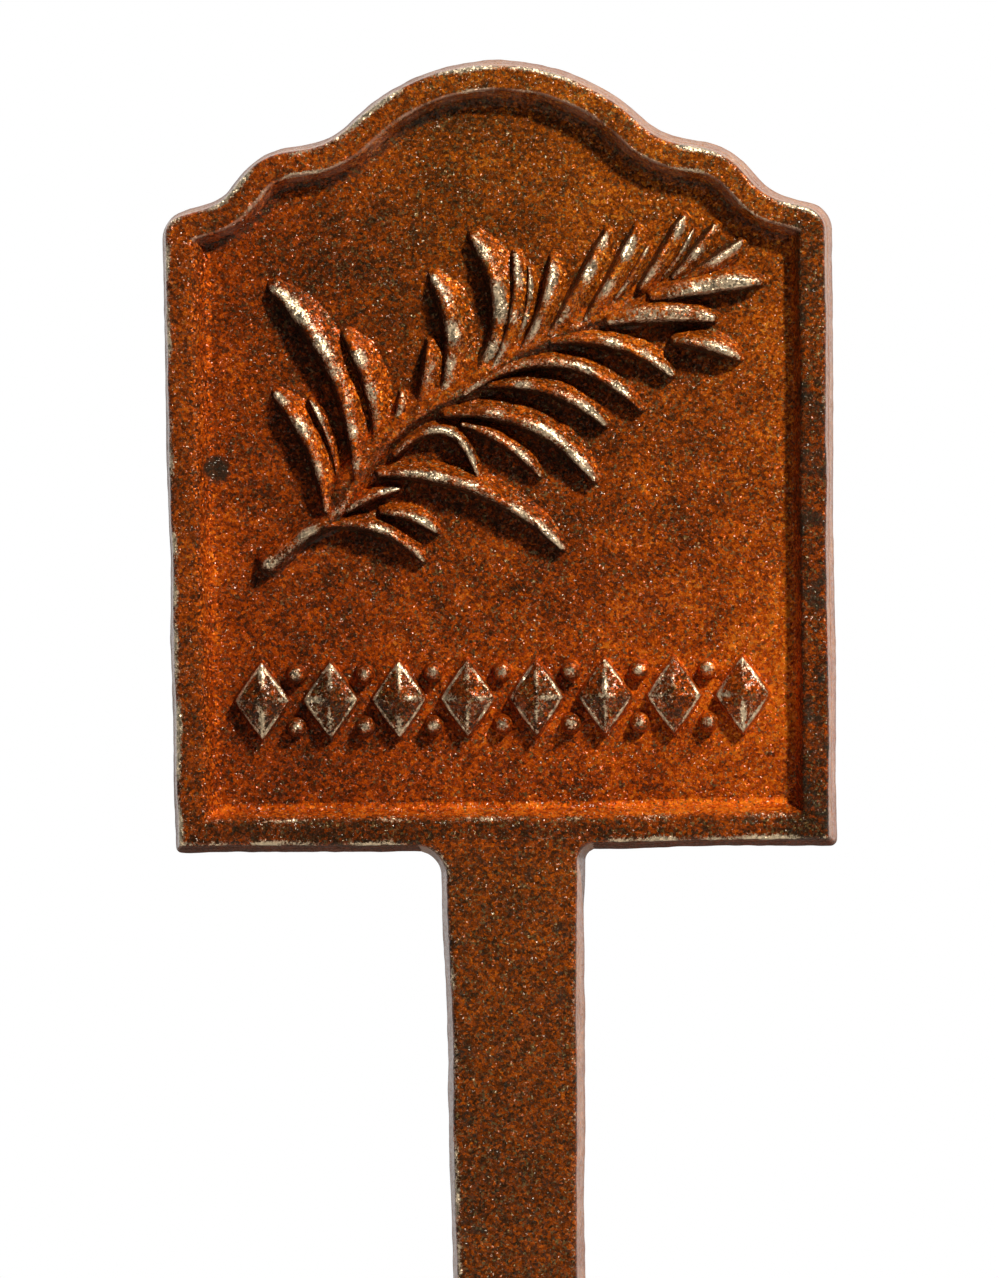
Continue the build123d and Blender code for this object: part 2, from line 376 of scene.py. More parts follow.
# The tone and painted shading values raise or lower this level: orange tone at the rim's foot and darker
# lozenge tops, painted light on the bottom rail's inner wall and on leaf flanks toward the light, painted
# shade in the rim's crease, on the leaves' far flanks and in the sprig's shadow.
level = blend((coarse_a, 0.36), (tiny_a, 0.28), (fine, 0.35), (small, 0.35), (calm, 0.42), (broad, 0.30),
              (maths("MULTIPLY", raised, lift), 1.0), (maths("MULTIPLY", raised, rightward), -0.17),
              (glow, 0.10), (upward, -0.10), (across, 0.085), (low_down, -0.07), (fresh, 0.11))
level = spread(level, 0.70, 1.40)
red_scale = ramp(level, [
    (0.0, (0.025, 0.010, 0.003)),
    (0.22, (0.077, 0.015, 0.002)),
    (0.44, (0.195, 0.028, 0.001)),
    (0.64, (0.410, 0.055, 0.001)),
    (0.84, (0.640, 0.108, 0.002)),
    (1.0, (0.800, 0.215, 0.012)),
])
brown_scale = ramp(level, [
    (0.0, (0.028, 0.013, 0.003)),
    (0.22, (0.080, 0.023, 0.003)),
    (0.44, (0.180, 0.039, 0.002)),
    (0.64, (0.360, 0.074, 0.002)),
    (0.84, (0.600, 0.150, 0.005)),
    (1.0, (0.790, 0.310, 0.030)),
])
brown = maths("MAXIMUM", maths("MULTIPLY", upward, from_left), maths("MULTIPLY", raised, below_head))
scale_colour = mix(brown, red_scale, brown_scale)

# Bare grains of grey metal
bare = blend((tiny_b, 0.40), (coarse_c, 0.60), (small, 0.35))
bare = spread(blend((bare, 1.0), (raised, 0.01), (upward, 0.04)), 0.92, 1.02)
bare_share = spread(from_left, 0.15, 1.0, 0.40, 0.80)
scale_colour = mix(maths("MULTIPLY", bare, bare_share), scale_colour, (0.17, 0.115, 0.040))

# Dark scale in patches on the raised faces, most on the right rail, and one dark pit beside the field
dark = blend((noise(in_mm, 0.33, 3.0, 0.6), 1.0), (rightward, 0.11))
dark = maths("MULTIPLY", maths("MULTIPLY", spread(dark, 0.61, 0.72), raised), 0.75)
pit = vectors("DISTANCE", in_mm, (HEAD_X - 29.5, -1.2, HEAD_Z + 40.3)).outputs["Value"]
pit = spread(blend((pit, 1.0), (small, 1.2)), 2.3, 1.7)
scale_colour = mix(maths("MAXIMUM", dark, maths("MULTIPLY", pit, 0.9)), scale_colour, (0.022, 0.021, 0.014))

# Crests and edges worn to metal, grain by grain
worn = spread(blend((wear, 1.0), (coarse_a, 0.35), (tiny_c, 0.35), (fine, 0.8), (small, 0.5)), 1.40, 1.75)
bright = mix(coarse_c, (0.36, 0.30, 0.21), (0.89, 0.72, 0.52))
colour = mix(worn, scale_colour, bright)

# Smooth sides, a painted pink sheen and highlight on the top rail's inner lip and wall, and dull dark
# scale, which is also painted shade on shaded sides, under faces, in creases and in the sprig's shadow
streaks = spread(blend((patches, 0.45), (small, 0.35), (fine, 0.20)), 0.42, 0.60)
side = mix(streaks, (0.40, 0.145, 0.050), (0.66, 0.345, 0.165))
colour = mix(maths("MULTIPLY", wall, 0.65), colour, side)
colour = mix(painted_sheen, colour, (0.60, 0.33, 0.24))
colour = mix(maths("MULTIPLY", dull_scale_and_painted_shade, 0.6), colour, (0.050, 0.022, 0.020))
metal = maths("MAXIMUM", maths("MULTIPLY", bare, 0.5), worn)

# Tilted grains in relief, calmer on the smooth sides, under a sealer's gloss
bumps = blend((coarse_facet, 0.25), (tiny_facet, 1.0), (fine, 0.010), (small, 0.03))
bumps = maths("MULTIPLY", bumps, spread(wall, 0.0, 1.0, 1.0, 0.4))
bump = add("ShaderNodeBump", {"Height": bumps, "Strength": 1.0, "Distance": 0.001})

matt = maths("MAXIMUM", maths("MAXIMUM", dull_scale_and_painted_shade, painted_sheen), maths("MULTIPLY", wall, 0.7))
shader = add("ShaderNodeBsdfPrincipled", {
    "Base Color": colour,
    "Metallic": maths("MULTIPLY", spread(metal, 0.0, 1.0, 0.75, 0.97), spread(matt, 0.0, 1.0, 1.0, 0.1)),
    "Roughness": maths("ADD", blend((coarse_c, 0.18), (maths("MAXIMUM", metal, wall), -0.18)), 0.50),
    "Normal": bump.outputs["Normal"],
    "Specular IOR Level": 0.05,
    "Coat Weight": maths("MULTIPLY", spread(dull_scale_and_painted_shade, 0.0, 0.8, 1.0, 0.0), spread(wall, 0.0, 1.0, 0.42, 0.54)),
    "Coat Roughness": 0.16,
    "Coat Normal": bump.outputs["Normal"],
})
add("ShaderNodeOutputMaterial", {"Surface": shader.outputs[0]})


# Panel: back face, drafted side wall and the sunk field
BACK_RINGS = 34
FIELD_RINGS = 72


def build_panel():
    """The plate in rings, from the middle of its back over the wall to the middle of its field."""
    counts = step_counts(0.45)
    middle = np.array([0.0, 40.0])
    rings = []

    def flat_ring(inset, share, y):
        """A ring on a face, drawn in towards the middle."""
        flat = middle + (outline(inset, counts)[0] - middle) * share
        side = -1.0 if y < 0 else 1.0
        return flat, y + side * face_wave(flat[:, 0], flat[:, 1] + (0 if y < 0 else 300.0))

    for share in np.linspace(0.02, 1.0, BACK_RINGS):
        rings.append(flat_ring(0.35, share, BACK_Y - 0.08))
    edge_at = len(rings)
    for inset, y in ((0.16, 2.87), (0.06, 2.74), (0.05, 2.55)):
        rings.append(wall_ring(inset, y, counts))
    for y in np.linspace(2.2, FIELD_Y, 8):
        rings.append(wall_ring((BACK_Y - y) * DRAFT, y, counts))
    seat_at = len(rings)
    for inset in (2.0, 3.5, 4.6):
        flat = outline(inset, counts)[0]
        rings.append((flat, np.full(len(flat), FIELD_Y)))
    field_at = len(rings)
    for share in np.linspace(1.0, 0.008, FIELD_RINGS):
        rings.append(flat_ring(5.0, share, FIELD_Y))
    points = np.concatenate([to_frame(flat[:, 0], flat[:, 1], y) for flat, y in rings])
    count = len(rings[0][0])
    faces = skin_faces(len(rings), count)

    right, up = -outline(2.0, counts)[1].T
    # The drafted wall takes the paler side rust, less on faces that look down. Dull dark scale paints shade
    # on walls that face left, away from the light, and on faces that look down; the back edge is duller all
    # round.
    wall = np.zeros((len(rings), count))
    wall[edge_at + 1:seat_at] = 1.0 - 0.85 * np.clip(-up, 0, 1) ** 2
    dull_scale_and_painted_shade = np.zeros((len(rings), count))
    fade = np.linspace(1.2, 0.3, seat_at - edge_at - 1)[:, None]
    dull_scale_and_painted_shade[edge_at - 1:seat_at - 2] = np.clip(0.55 - 0.75 * right, 0, 1) * fade
    under = slice(edge_at - 1, seat_at + 1)
    dull_scale_and_painted_shade[under] = np.maximum(dull_scale_and_painted_shade[under], 0.85 * np.clip(-up, 0, 1) ** 2)
    back_edge = slice(edge_at - 1, edge_at + 4)
    dull_scale_and_painted_shade[back_edge] = np.maximum(dull_scale_and_painted_shade[back_edge], 0.45)
    glow = np.zeros((len(rings), count))
    glow[seat_at:field_at] = 1.0
    glow[field_at:] = np.linspace(1.0, 0.0, FIELD_RINGS)[:, None] ** 7
    # Painted shadow of the sprig on the field: darker, duller scale where the relief would cast its shadow.
    lee_shadow = np.array([sprig_painted_shadow(flat) for flat, y in rings[field_at:]])
    dull_scale_and_painted_shade[field_at:] = 0.28 * lee_shadow
    glow[field_at:] -= 0.9 * lee_shadow
    surface = {"wall": wall.ravel(), "glow": glow.ravel(), "dull_scale_and_painted_shade": dull_scale_and_painted_shade.ravel()}
    add_piece("cast_panel", points, faces, ["panel"], **surface)


# Rim: a moulding with rounded edges, a flat top and a filleted foot
RIM_OUTSIDE = [
    (0.534, -0.80, 0.0), (0.62, -1.40, 0.0), (0.70, -2.00, 0.1), (0.755, -2.40, 0.25), (0.79, -2.60, 0.5),
    (0.84, -2.76, 0.75), (0.94, -2.89, 0.85), (1.08, -2.97, 0.7), (1.26, -3.00, 0.4), (1.50, -3.00, 0.1),
    (1.80, -3.00, 0.0), (2.20, -3.00, 0.0),
]
RIM_ROUND = [
    (2.60, -3.00, 0.0), (2.80, -2.99, 0.0), (3.00, -2.955, 0.2), (3.20, -2.885, 0.6), (3.40, -2.78, 0.8),
    (3.60, -2.635, 0.6), (3.80, -2.44, 0.2), (3.98, -2.22, 0.0), (4.14, -1.98, 0.0), (4.28, -1.72, 0.0),
    (4.42, -1.45, 0.0), (4.56, -1.22, 0.0), (4.74, -1.02, 0.0), (4.98, -0.87, 0.0), (5.30, -0.77, 0.0),
]
RIM_SHARP = [
    (2.60, -3.00, 0.0), (2.95, -3.00, 0.1), (3.15, -2.99, 0.6), (3.28, -2.95, 0.95), (3.38, -2.88, 1.0),
    (3.46, -2.77, 0.7), (3.54, -2.60, 0.3), (3.63, -2.36, 0.0), (3.73, -2.08, 0.0), (3.84, -1.78, 0.0),
    (3.96, -1.48, 0.0), (4.10, -1.20, 0.0), (4.32, -0.98, 0.0), (4.66, -0.85, 0.0), (5.30, -0.77, 0.0),
]
RIM_UNDER = [(5.60, -0.60, 0.0), (5.30, -0.30, 0.0), (1.20, -0.30, 0.0)]
LIP_INSET = 3.36
FACE_INSET = 3.78
CREASE_INSET = 4.45


def build_rim():
    """The moulding, with a rounder inner edge along the bottom and the left."""
    counts = step_counts(0.35)
    normals = outline(2.0, counts)[1]
    outer_wear = 0.95 - 0.75 * np.clip(-normals[:, 0], 0, 1) ** 2
    under = np.clip(-normals[:, 1], 0, 1) ** 0.5
    # Wear on the inner edge is strongest along the top rail's lip, where it also helps paint that lip's
    # highlight.
    inner_wear = 0.15 + 0.55 * under + 0.32 * np.clip(normals[:, 1], 0, 1)
    lit = np.clip(0.5 + 0.9 * (normals @ LIT_SIDE), 0, 1)
    soft = 0.6 * lit
    lower = np.clip(normals[:, 1], 0, 1) ** 2
    rings = []
    wear = []
    wall = []
    painted_sheen = []
    glow = []
    dull_scale_and_painted_shade = []
    profile = [(here, here) for here in RIM_OUTSIDE]
    profile += zip(RIM_ROUND, RIM_SHARP)
    profile += [(here, here) for here in RIM_UNDER]
    for (inset, y, worn_edge), (inset_sharp, y_sharp, worn_sharp) in profile:
        flat, depth = wall_ring(inset, y, counts)
        flat_sharp, depth_sharp = wall_ring(inset_sharp, y_sharp, counts)
        flat = flat_sharp + (flat - flat_sharp) * soft[:, None]
        depth = depth_sharp + (depth - depth_sharp) * soft
        top = np.clip((-y - 2.0) / 0.8, 0, 1)
        foot = np.clip((inset - 4.4) / 0.5, 0, 1)
        depth = depth - max(top, foot) * face_wave(flat[:, 0], flat[:, 1])
        rings.append(to_frame(flat[:, 0], flat[:, 1], depth))
        broken = 0.8 + 0.45 * ripple(flat, 3.0, 41)
        edge = worn_sharp + (worn_edge - worn_sharp) * soft
        wear.append(edge * broken * (outer_wear if inset < 2.4 else inner_wear))
        # Painted sheen on the top rail's inner edge: a pale line on the lip where it would catch the light
        # (painted highlight), and a paler wall face below it (painted reflection).
        lip = 0.8 * np.clip(1.3 - abs(inset_sharp - LIP_INSET) / 0.14, 0, 1)
        face = 0.28 * np.clip(1.5 - abs(inset_sharp - FACE_INSET) / 0.22, 0, 1)
        painted_sheen.append(under * np.clip((lip + face) * (0.8 + 0.5 * ripple(flat, 2.0, 45)), 0, 0.9))
        # Painted shade in the crease below the top rail's inner wall, where its shadow falls.
        crease = under * np.clip(1 - abs(inset_sharp - CREASE_INSET) / 0.5, 0, 1)
        # The outer wall takes the paler side rust, less where the bottom rail's wall looks down, so that it
        # stays dark as painted shade.
        wall.append((1.0 - 0.85 * lower) * (inset < 0.77))
        # Tone and painted shading: brighter orange on the inner walls and at the foot, more on the bottom
        # rail's wall that faces up to the light, which is painted light; a darker top on the bottom rail;
        # painted shade in the crease.
        slope = (1 + 1.4 * lower) * np.clip((inset - 3.5) / 0.5, 0, 1) * (inset < 5.0)
        flat_top = 0.9 * lower * (1.0 < inset < 3.3)
        glow.append(slope + (inset >= 5.0) - flat_top - 2.5 * crease)
        # Dull dark scale as painted shade on the bottom rail's outer wall, which looks down, and in the
        # crease.
        dull_scale_and_painted_shade.append(0.85 * lower * (inset < 0.80) + 0.5 * crease)
    count = len(rings[0])
    numbers = np.arange(len(rings) * count).reshape(len(rings), count)
    faces = []
    for first, second in zip(numbers, np.roll(numbers, -1, axis=0)):
        faces += strip_faces(first, second)
    surface = {"wear": wear, "wall": wall, "painted_sheen": painted_sheen, "glow": glow, "dull_scale_and_painted_shade": dull_scale_and_painted_shade}
    surface = {key: np.concatenate(values) for key, values in surface.items()}
    add_piece("cast_rim", np.concatenate(rings), faces, ["rim"], **surface)


# Stake: a drafted blade that runs up into the bottom rail and down to its point
def blade_half(w):
    """Half the blade's width at its back, at a height."""
    slope = STAKE_END_HALF / (BLADE_END - STAKE_END)
    taper = STAKE_END_HALF + (STAKE_HALF - STAKE_END_HALF) * (w - BLADE_END) / -BLADE_END
    point = slope * (w - STAKE_END)
    half_angle = math.atan(slope)
    centre = STAKE_END + POINT_RADIUS / math.sin(half_angle)
    if w < centre - POINT_RADIUS * math.sin(half_angle):
        return math.sqrt(max(POINT_RADIUS ** 2 - (w - centre) ** 2, 0.0))
    return min(taper, point)


STAKE_WALL = [
    (3.00, 0.30, 0.0), (2.93, 0.12, 0.0), (2.80, 0.03, 0.0), (2.50, 0.0, 0.0), (1.80, 0.0, 0.0),
    (1.00, 0.0, 0.0), (0.20, 0.0, 0.0), (-0.60, 0.0, 0.0), (-1.40, 0.0, 0.0), (-2.10, 0.0, 0.0),
    (-2.50, 0.0, 0.2), (-2.68, 0.03, 0.5), (-2.82, 0.10, 0.8), (-2.93, 0.23, 0.8), (-2.985, 0.42, 0.5),
    (-3.00, 0.65, 0.1),
]


def build_stake():
    """The blade in sections, from the bottom rail down to the point."""
    half_angle = math.atan(STAKE_END_HALF / (BLADE_END - STAKE_END))
    tip = STAKE_END + POINT_RADIUS / math.sin(half_angle) - POINT_RADIUS
    rows = np.concatenate([np.linspace(1.7, -4.0, 24), np.arange(-4.4, tip + 3, -0.42)])
    rows = np.concatenate([rows, np.linspace(rows[-1] - 0.3, tip + 0.02, 14)])
    front_shares = np.linspace(1, -1, 27)[1:-1]
    back_shares = np.linspace(-1, 1, 11)[1:-1]
    points = []
    wear = []
    walls = []
    dulls = []
    for w in rows:
        half = blade_half(min(w, 0.0))
        deep = min(BACK_Y - FRONT_Y, half / DRAFT * 0.999)
        shrink = min(1.0, half / 2.0)
        sides = {}
        for side, root in ((1, ROOT_RIGHT), (-1, ROOT_LEFT)):
            line = []
            for y, extra, worn_edge in STAKE_WALL:
                depth = (BACK_Y - y) / (BACK_Y - FRONT_Y) * deep
                inset = depth * DRAFT
                reach = half - inset
                if w > -root:
                    drop = (root + inset) ** 2 - (min(w, inset) + root) ** 2
                    reach = half + root - math.sqrt(max(drop, 0.0))
                reach = max(reach - extra * shrink, 0.01)
                line.append((side * reach + STAKE_SHIFT, w, BACK_Y - depth, worn_edge))
            sides[side] = line
        front_right = sides[1][-1]
        front_left = sides[-1][-1]
        middle = (front_right[0] + front_left[0]) / 2
        reach = (front_right[0] - front_left[0]) / 2
        front = [(middle + reach * share, w, front_right[2], 0.0) for share in front_shares]
        back_reach = (sides[1][0][0] - sides[-1][0][0]) / 2
        back_middle = (sides[1][0][0] + sides[-1][0][0]) / 2
        back = [(back_middle + back_reach * share, w, BACK_Y, 0.0) for share in back_shares]
        section = np.array(sides[1] + front + sides[-1][::-1] + back)
        wander = edge_wave(section[:, 0], section[:, 1], section[:, 2]) * shrink
        away = np.sign(section[:, 0] - STAKE_SHIFT)
        steps = len(STAKE_WALL)
        wall = np.zeros(len(section))
        wall[:steps] = 1.0
        wall[steps + len(front):2 * steps + len(front)] = 1.0
        u = section[:, 0] - away * wall * wander
        y = section[:, 2].copy()
        raised = np.clip((-y - 2.0) / 0.8, 0, 1)
        y -= raised * face_wave(u, section[:, 1])
        y += np.clip((y - 2.0) / 0.8, 0, 1) * (face_wave(u, section[:, 1] + 300.0) - 0.08)
        if w > 1.3:
            y += 0.5 * (w - 1.3) * (y < -2.0)
        points.append(to_frame(u, section[:, 1], y))
        broken = 0.78 + 0.22 * ripple(section[:, :2], 3.0, 41) + 0.30 * ripple(section[:, :2], 13.0, 43)
        wear.append(section[:, 3] * np.where(section[:, 0] > STAKE_SHIFT, 0.35, 0.68) * broken)
        walls.append(wall * (section[:, 2] > -2.45))
        dulls.append(0.5 * wall * np.clip((section[:, 2] - 1.6) / 0.8, 0, 1))
    faces = skin_faces(len(points), len(points[0]))
    surface = {"wear": np.concatenate(wear), "wall": np.concatenate(walls), "dull_scale_and_painted_shade": np.concatenate(dulls)}
    add_piece("cast_stake", np.concatenate(points), faces, ["stake"], **surface)


# Sprig: ridges along their spines, in drawn millimetres from the stem's cut end
SPRIG_LEFT = -24.3
SPRIG_FOOT = 30.1
STEM = [
    (0.0, 0.0), (3.4, 2.8), (7.1, 5.2), (9.6, 9.0), (13.0, 13.1), (16.8, 15.9),
    (21.0, 18.1), (25.7, 21.3), (31.0, 23.8), (36.3, 25.8), (40.5, 27.5),
]
LEAVES = [
    ((6.2, 5.6), (1.1, 17.7), -1.1, 1.5), ((7.4, 9.0), (4.6, 17.2), -0.5, 0.9),
    ((9.4, 9.0), (0.9, 28.8), -2.3, 1.9), ((11.4, 12.4), (8.4, 23.8), -1.0, 1.6),
    ((13.4, 14.4), (14.2, 17.6), -0.2, 0.9), ((15.6, 15.4), (17.2, 23.0), -0.4, 1.4),
    ((18.0, 16.4), (17.7, 29.6), -1.7, 1.9), ((21.5, 18.6), (21.9, 33.8), -2.8, 1.9),
    ((23.8, 20.1), (26.2, 32.0), -1.1, 1.3), ((25.2, 21.1), (27.7, 30.7), -0.9, 1.0),
    ((26.8, 22.1), (30.1, 31.5), -0.8, 1.4), ((29.8, 23.6), (35.8, 34.1), -0.3, 1.5),
    ((33.6, 25.2), (38.9, 34.5), -0.3, 1.3), ((36.4, 27.0), (40.1, 32.6), -0.2, 0.9),
    ((39.4, 28.4), (43.8, 35.6), -0.2, 1.2), ((41.6, 29.4), (44.9, 34.4), -0.2, 0.8),
    ((42.8, 29.4), (47.1, 34.7), -0.2, 1.1), ((43.8, 29.2), (49.7, 32.9), -0.2, 1.1),
    ((40.6, 27.4), (51.5, 28.8), 0.4, 2.0), ((36.0, 25.0), (46.6, 25.1), 0.6, 2.0),
    ((42.8, 22.8), (49.4, 20.9), 0.4, 1.6), ((30.0, 22.9), (42.3, 19.3), 1.5, 1.6),
    ((20.8, 17.6), (39.1, 15.8), 4.0, 1.4), ((23.4, 18.4), (35.3, 14.2), 1.5, 1.5),
    ((18.8, 15.5), (34.1, 8.5), 2.5, 1.9), ((20.6, 14.4), (28.5, 9.0), 0.8, 1.2),
    ((13.4, 11.4), (22.0, 9.1), 3.6, 1.1), ((11.8, 9.4), (30.7, 1.4), 2.3, 1.7),
    ((12.0, 5.4), (17.6, 3.3), 0.5, 1.2), ((8.4, 5.6), (13.8, 7.8), 0.3, 1.0),
    ((6.0, 4.0), (16.2, 0.3), 1.5, 1.3),
]
SPINE_STEPS = 48


def stem_spine():
    """The stem's line through its drawn points, evenly stepped."""
    drawn = np.array(STEM)
    padded = np.concatenate([2 * drawn[:1] - drawn[1:2], drawn, 2 * drawn[-1:] - drawn[-2:-1]])
    line = []
    for i in range(len(drawn) - 1):
        a, b, c, d = padded[i:i + 4]
        t = np.linspace(0, 1, 12, endpoint=False)[:, None]
        bend = (2 * a - 5 * b + 4 * c - d) * t ** 2 + (3 * b - a - 3 * c + d) * t ** 3
        line.append(0.5 * (2 * b + (c - a) * t + bend))
    line.append(drawn[-1:])
    return np.concatenate(line)


def leaf_spine(start, tip, bow):
    """A leaf's bowed line from its start to its tip."""
    start = np.array(start)
    tip = np.array(tip)
    run = tip - start
    left = np.array([-run[1], run[0]]) / np.linalg.norm(run)
    t = np.linspace(0, 1, SPINE_STEPS + 1)[:, None]
    return start + run * t + left * bow * 4 * t * (1 - t)


# Leaves by their number: close together, low, flat-topped, and those that start high
CLOSE_LEAVES = range(9, 19)
LOW_LEAVES = (2, 10, 14, 16)
FLAT_LEAVES = (19, 20)
HIGH_STARTS = (1, 3)
TALLEST_LEAF = 2.15

# How far a mesh reaches beyond a ridge's half width, the sides that flanks face, and the stem's swelling
PLAN_REACH = 1.46
OPEN_SIDE = np.array([0.98, 0.20])
UPPER_SIDE = np.array([0.88, 0.47])
BODY_SHIFT = 0.9
BODY_HALF = 2.5


class Ridge:
    """A ridge of relief: its spine, and its half width and height along it."""

    def __init__(self, name, spine, half, height, body=0.0, side=LIT_SIDE, crown=0.1):
        self.name = name
        self.side = side
        self.crown = crown
        self.spine = spine + np.array([SPRIG_LEFT, SPRIG_FOOT])
        self.half = half
        self.height = height
        self.body = body

    def at(self, points):
        """The ridge's height over points, and for each how far off the crest it is, how much its
        flank faces the light side, and how far along the ridge it lies."""
        first = self.spine[:-1]
        run = self.spine[1:] - first
        offset = points[:, None, :] - first[None, :, :]
        share = np.clip((offset * run).sum(axis=2) / (run * run).sum(axis=1), 0, 1)
        foot = first + run * share[..., None]
        apart = points[:, None, :] - foot
        distance = np.linalg.norm(apart, axis=2)
        nearest = distance.argmin(axis=1)
        pick = np.arange(len(points))
        along = share[pick, nearest]
        reach = distance[pick, nearest]
        toward = apart[pick, nearest] / np.maximum(reach, 1e-6)[:, None]
        half = self.half[nearest] * (1 - along) + self.half[nearest + 1] * along
        height = self.height[nearest] * (1 - along) + self.height[nearest + 1] * along
        lit = toward @ self.side
        v = np.clip((reach / half - self.crown) / (1 + 0.40 * lit - self.crown), 0, 1)
        far = (nearest + along) / len(run)
        flank = 0.5 * (1 + np.cos(np.pi * v))
        slope = (1 - v ** 2) * np.sqrt(1 - v)
        tall = height * (flank + (slope - flank) * np.clip(0.5 + 2.5 * lit, 0, 1))
        if self.body:
            nearby = run[nearest] / np.linalg.norm(run[nearest], axis=1)[:, None]
            beside = nearby[:, 0] * apart[pick, nearest, 1] - nearby[:, 1] * apart[pick, nearest, 0]
            shift = np.interp(far, [0.1, 0.45, 0.7, 1.0], [BODY_SHIFT, 0.6, 0.0, -0.3])
            across = np.clip(np.abs(beside - shift) / BODY_HALF, 0, 1)
            swell = np.interp(far, [0.10, 0.22, 0.45, 0.75, 0.9, 1.0], [0.0, 1.0, 1.0, 1.0, 0.8, 0.2])
            tall = np.maximum(tall, self.body * swell * 0.5 * (1 + np.cos(np.pi * across)))
        return tall, v, lit, far


def make_ridges():
    """The stem's ridge and each leaf's, in the order of the CAD's names."""
    spine = stem_spine()
    share = np.linspace(0, 1, len(spine))
    half = np.interp(share, [0, 0.12, 1], [1.75, 1.4, 0.85])
    tall = np.interp(share, [0, 0.2, 0.5, 1], [1.9, 1.8, 1.35, 0.7])
    ridges = [Ridge("sprig_stem", spine, half, tall, body=1.3)]
    for number, (start, tip, bow, width) in enumerate(LEAVES, 1):
        spine = leaf_spine(start, tip, bow)
        share = np.linspace(0, 1, len(spine))
        name = f"leaf_{number:02d}"
        stops = [0, 0.25, 0.55, 0.85, 1.0]
        rise = [0, 0.2, 0.45, 0.7, 0.92, 1.0]
        if number in LOW_LEAVES:
            half = np.interp(share, stops, [0.6, 0.85, 1.0, 0.9, 0.5]) * (0.60 * width + 0.20)
            tall = np.interp(share, rise, [0.4, 0.6, 0.9, 1.0, 0.8, 0.6]) * 1.35
            ridges.append(Ridge(name, spine, half, tall, side=OPEN_SIDE))
        elif number in CLOSE_LEAVES:
            half = np.interp(share, stops, [0.7, 0.9, 1.0, 0.95, 0.55]) * (0.62 * width + 0.60)
            tall = np.interp(share, rise, [0.6, 0.85, 1.0, 0.86, 0.60, 0.40]) * 2.14
            ridges.append(Ridge(name, spine, half, tall, side=OPEN_SIDE))
        elif number < CLOSE_LEAVES[0]:
            half = np.interp(share, stops, [0.6, 0.85, 1.0, 0.95, 0.55]) * (0.90 * width + 0.30)
            low = 0.8 if number in HIGH_STARTS else 0.42
            tall = np.interp(share, rise, [low, 0.2 + 0.8 * low, 0.5 + 0.5 * low, 1.0, 0.75, 0.5])
            tall = tall * min(TALLEST_LEAF, 1.3 + 0.55 * width)
            ridges.append(Ridge(name, spine, half, tall, side=UPPER_SIDE))
        else:
            half = np.interp(share, stops, [0.6, 0.9, 1.0, 0.8, 0.45]) * (0.76 * width + 0.22)
            tall = np.interp(share, rise, [0.75, 0.95, 1.0, 0.93, 0.72, 0.55])
            tall = tall * min(TALLEST_LEAF, 1.2 + 0.55 * width)
            ridges.append(Ridge(name, spine, half, tall, crown=0.28 if number in FLAT_LEAVES else 0.12))
    return ridges


def relief_height(points, ridges):
    """Smooth union of ridge heights, and the heights of each ridge."""
    heights = np.array([ridge.at(points)[0] for ridge in ridges])
    return (heights ** 6).sum(axis=0) ** (1 / 6), heights


# Painted shadow on the field in the sprig's lee: dark scale laid where the relief would cast its shadow,
# from the relief's height on a grid
LEE_LOW = np.array([-30.0, 22.0])
LEE_HIGH = np.array([32.0, 74.0])
LEE_STEP = 0.5
LEE_WALK = np.arange(0.4, 3.2, 0.4)
LEE_FALL = 0.55
LEE_SOFT = 0.7
lee_across, lee_up = (np.arange(LEE_LOW[k], LEE_HIGH[k], LEE_STEP) for k in (0, 1))
lee_grid = np.stack(np.meshgrid(lee_across, lee_up, indexing="ij"), axis=-1)
lee_heights = relief_height(lee_grid.reshape(-1, 2), make_ridges())[0].reshape(lee_grid.shape[:2])


def sprig_painted_shadow(points):
    """How strongly the sprig's painted shadow lies at field points in its lee."""
    lee_shadow = np.zeros(len(points))
    for away in LEE_WALK:
        place = (points + LIT_SIDE * away - LEE_LOW) / LEE_STEP
        corner = np.clip(place.astype(int), 0, np.array(lee_heights.shape) - 2)
        i, j = corner.T
        s, t = np.clip(place - corner, 0, 1).T
        below = lee_heights[i, j] * (1 - s) + lee_heights[i + 1, j] * s
        above = lee_heights[i, j + 1] * (1 - s) + lee_heights[i + 1, j + 1] * s
        tall = below * (1 - t) + above * t
        lee_shadow = np.maximum(lee_shadow, np.clip((tall - LEE_FALL * away) / LEE_SOFT, 0, 1))
    return lee_shadow


